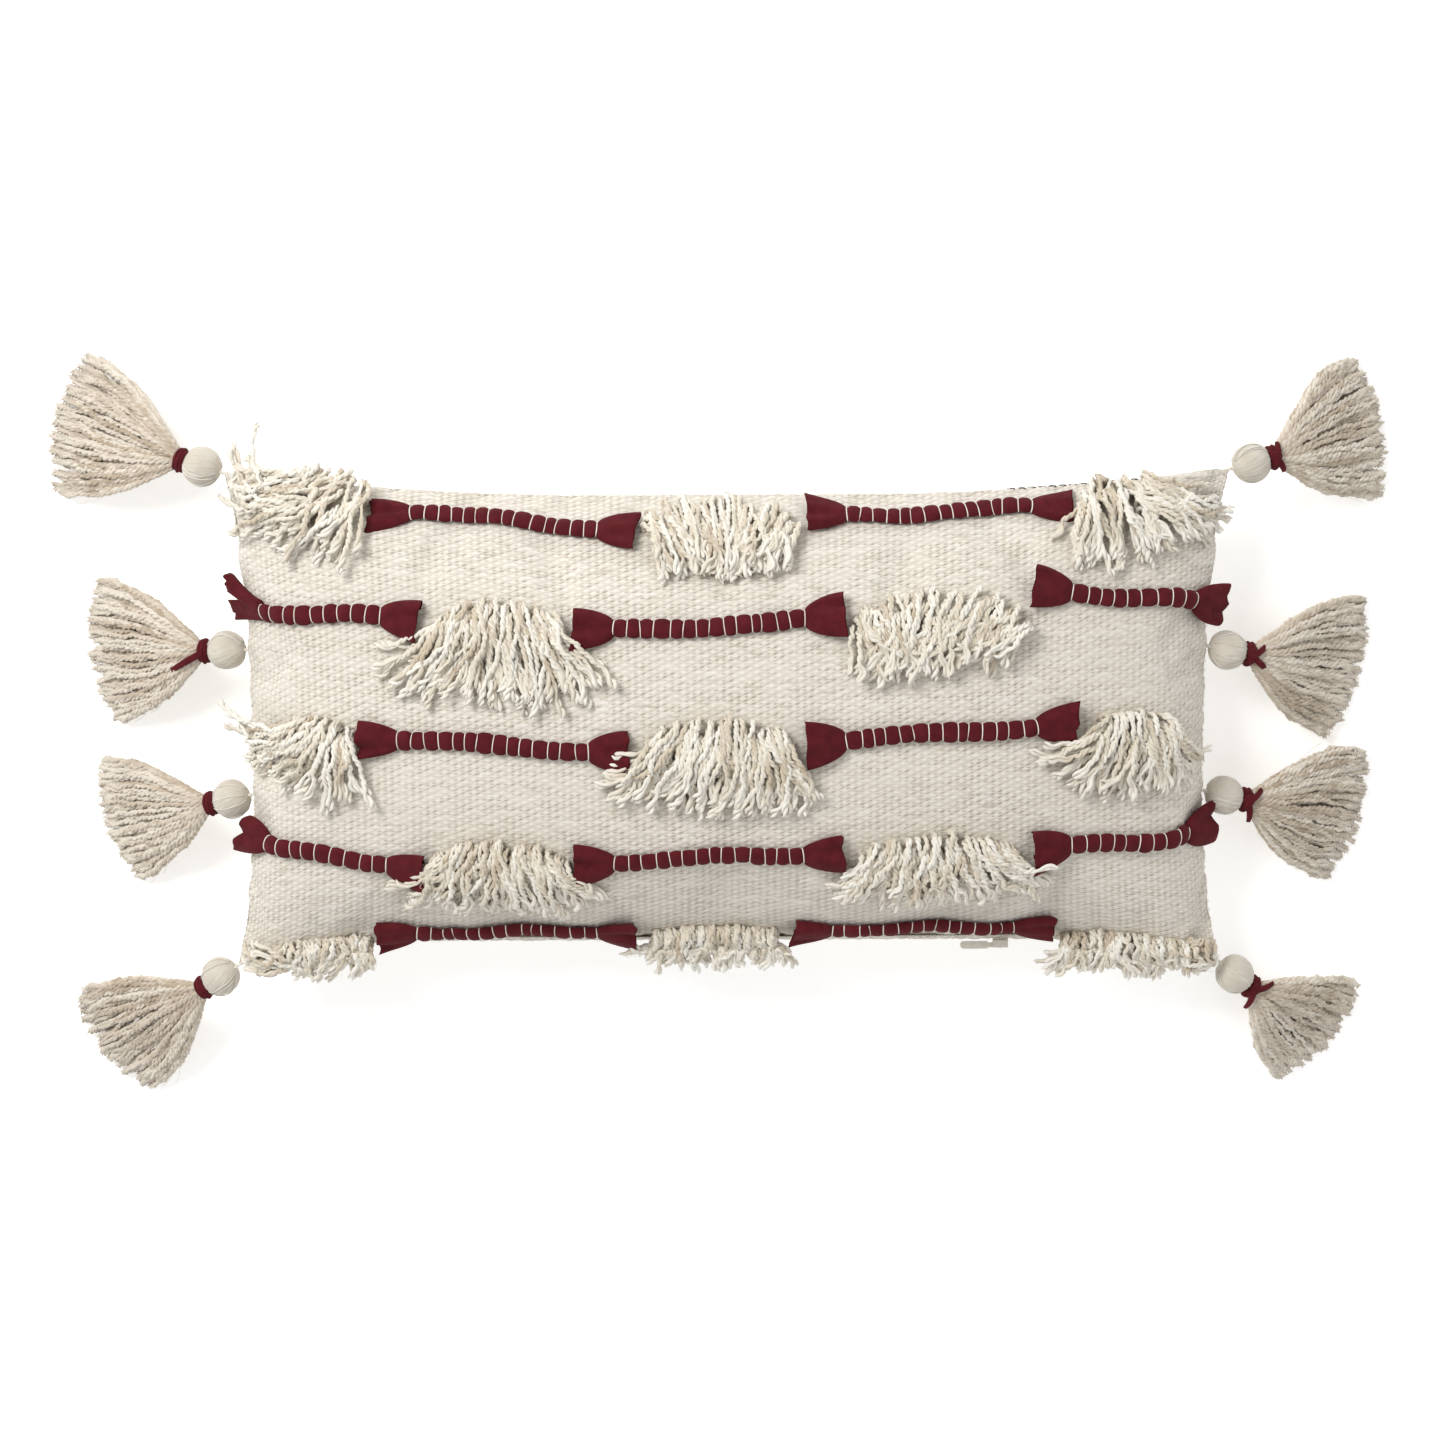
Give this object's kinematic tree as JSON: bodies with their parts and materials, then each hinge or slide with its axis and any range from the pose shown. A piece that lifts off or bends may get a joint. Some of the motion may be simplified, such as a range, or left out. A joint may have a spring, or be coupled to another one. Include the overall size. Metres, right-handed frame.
{
  "type": "lumbar throw pillow",
  "caption": "Long stuffed throw pillow with a woven cover, couched cords and yarn tufts on its face, a zipped seam and swinging tassels along its short sides.",
  "frame": {"origin": "centre of the flat patch on the back panel that the pillow lies on, at z = 0", "axes": "+X along the pillow's length, towards the side with the knotted tassel bands; +Y up its face, away from the zipped seam; +Z out of the face, straight up as it lies"},
  "size_m": [0.8067, 0.4616, 0.1237],
  "materials": {
    "woven_cotton": "matte",
    "maroon_jersey": "matte",
    "cotton_yarn": "matte",
    "ticking": "matte",
    "polyester_fibre": "matte",
    "zipper_tape": "matte",
    "zipper_nylon": "satin",
    "zipper_metal": "satin"
  },
  "bodies": {
    "cover": {"front_panel": "woven_cotton", "back_panel": "woven_cotton", "insert_front": "ticking", "insert_back": "ticking", "fill": "polyester_fibre", "zipper_tape_front": "zipper_tape", "zipper_tape_back": "zipper_tape", "zipper_teeth_front": "zipper_nylon", "zipper_teeth_back": "zipper_nylon", "cord_top_left": "maroon_jersey", "cord_top_right": "maroon_jersey", "cord_upper_left": "maroon_jersey", "cord_upper_centre": "maroon_jersey", "cord_upper_right": "maroon_jersey", "cord_middle_left": "maroon_jersey", "cord_middle_right": "maroon_jersey", "cord_lower_left": "maroon_jersey", "cord_lower_centre": "maroon_jersey", "cord_lower_right": "maroon_jersey", "cord_bottom_left": "maroon_jersey", "cord_bottom_right": "maroon_jersey", "tuft_top_left": "cotton_yarn", "tuft_top_centre": "cotton_yarn", "tuft_top_right": "cotton_yarn", "tuft_upper_left": "cotton_yarn", "tuft_upper_right": "cotton_yarn", "tuft_middle_left": "cotton_yarn", "tuft_middle_centre": "cotton_yarn", "tuft_middle_right": "cotton_yarn", "tuft_lower_left": "cotton_yarn", "tuft_lower_right": "cotton_yarn", "tuft_bottom_left": "cotton_yarn", "tuft_bottom_centre": "cotton_yarn", "tuft_bottom_right": "cotton_yarn", "tassel_left_1_hanger": "cotton_yarn", "tassel_left_2_hanger": "cotton_yarn", "tassel_left_3_hanger": "cotton_yarn", "tassel_left_4_hanger": "cotton_yarn", "tassel_right_1_hanger": "cotton_yarn", "tassel_right_2_hanger": "cotton_yarn", "tassel_right_3_hanger": "cotton_yarn", "tassel_right_4_hanger": "cotton_yarn"},
    "tassel_left_1": {"tassel_left_1_yarn": "cotton_yarn", "tassel_left_1_band": "maroon_jersey"},
    "tassel_left_2": {"tassel_left_2_yarn": "cotton_yarn", "tassel_left_2_band": "maroon_jersey"},
    "tassel_left_3": {"tassel_left_3_yarn": "cotton_yarn", "tassel_left_3_band": "maroon_jersey"},
    "tassel_left_4": {"tassel_left_4_yarn": "cotton_yarn", "tassel_left_4_band": "maroon_jersey"},
    "tassel_right_1": {"tassel_right_1_yarn": "cotton_yarn", "tassel_right_1_band": "maroon_jersey"},
    "tassel_right_2": {"tassel_right_2_yarn": "cotton_yarn", "tassel_right_2_band": "maroon_jersey"},
    "tassel_right_3": {"tassel_right_3_yarn": "cotton_yarn", "tassel_right_3_band": "maroon_jersey"},
    "tassel_right_4": {"tassel_right_4_yarn": "cotton_yarn", "tassel_right_4_band": "maroon_jersey"},
    "zipper_slider": {"zipper_slider": "zipper_metal"},
    "zipper_pull": {"zipper_pull": "zipper_metal"}
  },
  "joints": [
    {"name": "tassel_left_1_swing", "type": "hinge", "parent": "cover", "child": "tassel_left_1", "pos_m": [-0.29475, 0.14839, 0.048], "axis": [0.2588, 0.9659, 0], "range_deg": [-30, 60]},
    {"name": "tassel_left_2_swing", "type": "hinge", "parent": "cover", "child": "tassel_left_2", "pos_m": [-0.2833, 0.0434, 0.048], "axis": [-0.0698, 0.9976, 0], "range_deg": [-30, 60]},
    {"name": "tassel_left_3_swing", "type": "hinge", "parent": "cover", "child": "tassel_left_3", "pos_m": [-0.28325, -0.04389, 0.048], "axis": [-0.2588, 0.9659, 0], "range_deg": [-30, 60]},
    {"name": "tassel_left_4_swing", "type": "hinge", "parent": "cover", "child": "tassel_left_4", "pos_m": [-0.29453, -0.14886, 0.048], "axis": [-0.5736, 0.8192, 0], "range_deg": [-30, 60]},
    {"name": "tassel_right_1_swing", "type": "hinge", "parent": "cover", "child": "tassel_right_1", "pos_m": [0.29476, 0.14834, 0.048], "axis": [0.225, -0.9744, 0], "range_deg": [-30, 60]},
    {"name": "tassel_right_2_swing", "type": "hinge", "parent": "cover", "child": "tassel_right_2", "pos_m": [0.28326, 0.04316, 0.048], "axis": [-0.225, -0.9744, 0], "range_deg": [-30, 60]},
    {"name": "tassel_right_3_swing", "type": "hinge", "parent": "cover", "child": "tassel_right_3", "pos_m": [0.28325, -0.04389, 0.048], "axis": [-0.2588, -0.9659, 0], "range_deg": [-30, 60]},
    {"name": "tassel_right_4_swing", "type": "hinge", "parent": "cover", "child": "tassel_right_4", "pos_m": [0.29445, -0.14896, 0.048], "axis": [-0.6428, -0.766, 0], "range_deg": [-30, 60]},
    {"name": "zipper_slide", "type": "slide", "parent": "cover", "child": "zipper_slider", "axis": [-1, 0, 0], "range_m": [0, 0.324]},
    {"name": "zipper_pull_turn", "type": "hinge", "parent": "zipper_slider", "child": "zipper_pull", "pos_m": [0.1624, -0.1372, 0.048], "axis": [0, 0, 1], "range_deg": [0, 180]}
  ]
}
